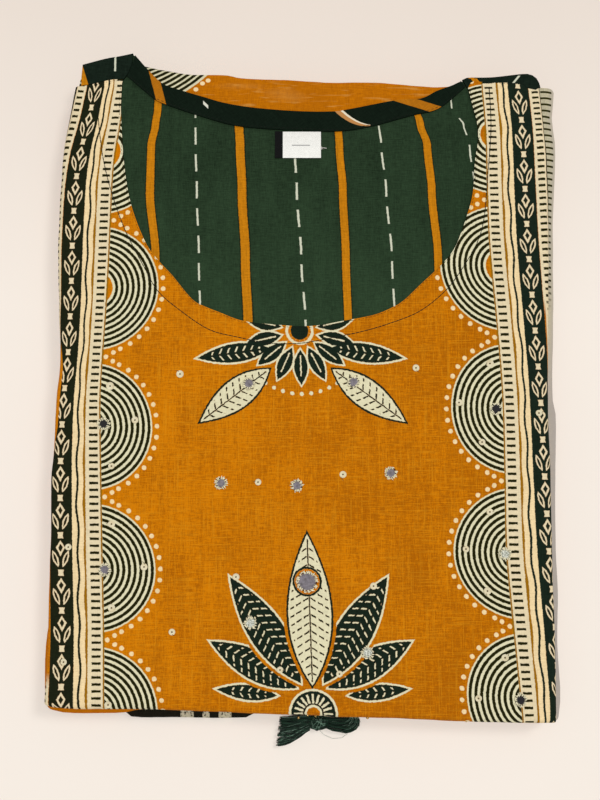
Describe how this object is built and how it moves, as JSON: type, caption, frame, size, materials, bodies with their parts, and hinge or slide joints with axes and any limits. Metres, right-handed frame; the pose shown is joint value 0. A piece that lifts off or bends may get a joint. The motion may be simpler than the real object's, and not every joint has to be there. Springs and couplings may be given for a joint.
{
  "type": "folded kurta set with dupatta",
  "caption": "Folded printed cotton kurta set with scooped neck, small sewn mirrors, hidden folded trousers and dupatta with a thread tassel, lying flat.",
  "frame": {"origin": "centre of the pack's box, on the surface it lies on", "axes": "+X across the pack, +Y up it from the bottom fold to the shoulders, +Z up from the surface"},
  "size_m": [0.3368, 0.4588, 0.0238],
  "materials": {
    "ochre_cotton": "printed plain-weave cotton, soft",
    "dark_green_cotton": "wrong side of printed cotton",
    "deep_green_facing": "printed cotton, right side",
    "white_label": "plain white label, bare",
    "black_label": "woven label, bare",
    "ochre_under_layers": "folded printed cotton",
    "ochre_trousers": "folded ochre cotton",
    "dark_dupatta": "folded dark printed cotton",
    "dark_green_thread": "twisted cotton thread",
    "mirror_glass": "small round mirror"
  },
  "bodies": {
    "root": {"kurta_front": "ochre_cotton", "kurta_back": "dark_green_cotton", "back_neck_facing": "deep_green_facing", "size_label": "white_label", "neck_label": "black_label", "kurta_folded_layers": "ochre_under_layers", "trousers_fold": "ochre_trousers", "dupatta_fold": "dark_dupatta", "dupatta_tassel": "dark_green_thread", "mirror_01": "mirror_glass", "mirror_02": "mirror_glass", "mirror_03": "mirror_glass", "mirror_04": "mirror_glass", "mirror_05": "mirror_glass", "mirror_06": "mirror_glass", "mirror_07": "mirror_glass", "mirror_08": "mirror_glass", "mirror_09": "mirror_glass", "mirror_10": "mirror_glass", "mirror_11": "mirror_glass", "mirror_12": "mirror_glass", "mirror_13": "mirror_glass"}
  },
  "joints": []
}
